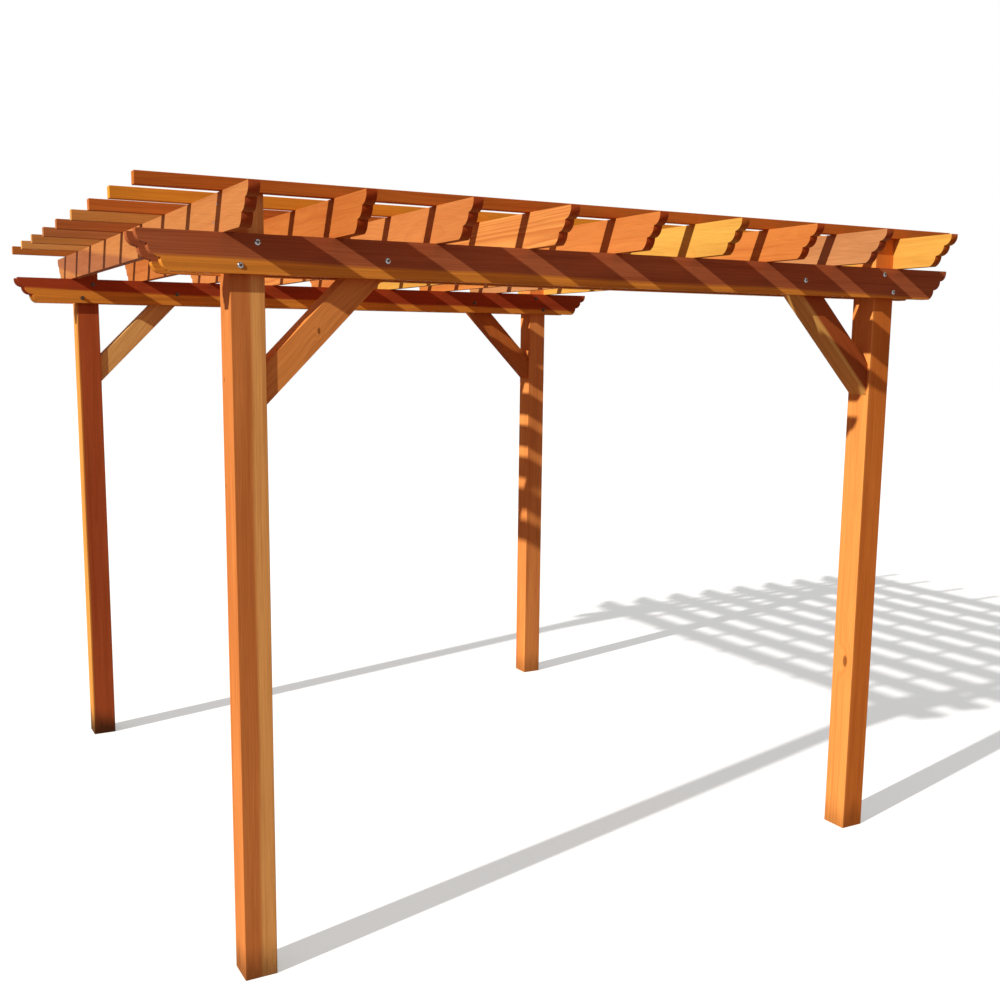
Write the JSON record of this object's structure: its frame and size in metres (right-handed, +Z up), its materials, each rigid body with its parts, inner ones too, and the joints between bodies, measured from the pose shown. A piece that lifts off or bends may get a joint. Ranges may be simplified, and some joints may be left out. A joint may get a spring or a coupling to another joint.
{
  "type": "pergola",
  "caption": "Open timber pergola: square posts with paired scalloped beams let into them, knee braces along the beams, scalloped rafters and a layer of square slats for shade",
  "frame": {"origin": "on the ground at the middle of the footprint of the whole frame", "axes": "+X runs along the beams to the right as seen from the front, +Y runs along the rafters to the back, +Z is up"},
  "size_m": [3.658, 3.704, 2.792],
  "materials": {
    "oiled_post_redwood": "planed and oiled redwood, satin",
    "oiled_beam_redwood": "planed and oiled redwood heartwood with a paler sapwood edge, satin",
    "oiled_brace_redwood": "planed and oiled redwood, satin",
    "oiled_rafter_redwood": "planed and oiled redwood, satin",
    "oiled_slat_redwood": "planed and oiled redwood, satin",
    "zinc_plated_steel": "bright zinc plating, slightly dulled"
  },
  "bodies": {
    "root": {"post_front_left": "oiled_post_redwood", "post_front_right": "oiled_post_redwood", "post_back_left": "oiled_post_redwood", "post_back_right": "oiled_post_redwood", "beam_front_outer": "oiled_beam_redwood", "beam_front_inner": "oiled_beam_redwood", "beam_back_inner": "oiled_beam_redwood", "beam_back_outer": "oiled_beam_redwood", "brace_front_left": "oiled_brace_redwood", "brace_front_right": "oiled_brace_redwood", "brace_back_left": "oiled_brace_redwood", "brace_back_right": "oiled_brace_redwood", "rafter_1": "oiled_rafter_redwood", "rafter_2": "oiled_rafter_redwood", "rafter_3": "oiled_rafter_redwood", "rafter_4": "oiled_rafter_redwood", "rafter_5": "oiled_rafter_redwood", "rafter_6": "oiled_rafter_redwood", "rafter_7": "oiled_rafter_redwood", "rafter_8": "oiled_rafter_redwood", "rafter_9": "oiled_rafter_redwood", "slat_1": "oiled_slat_redwood", "slat_2": "oiled_slat_redwood", "slat_3": "oiled_slat_redwood", "slat_4": "oiled_slat_redwood", "slat_5": "oiled_slat_redwood", "slat_6": "oiled_slat_redwood", "slat_7": "oiled_slat_redwood", "slat_8": "oiled_slat_redwood", "slat_9": "oiled_slat_redwood"}
  },
  "joints": []
}
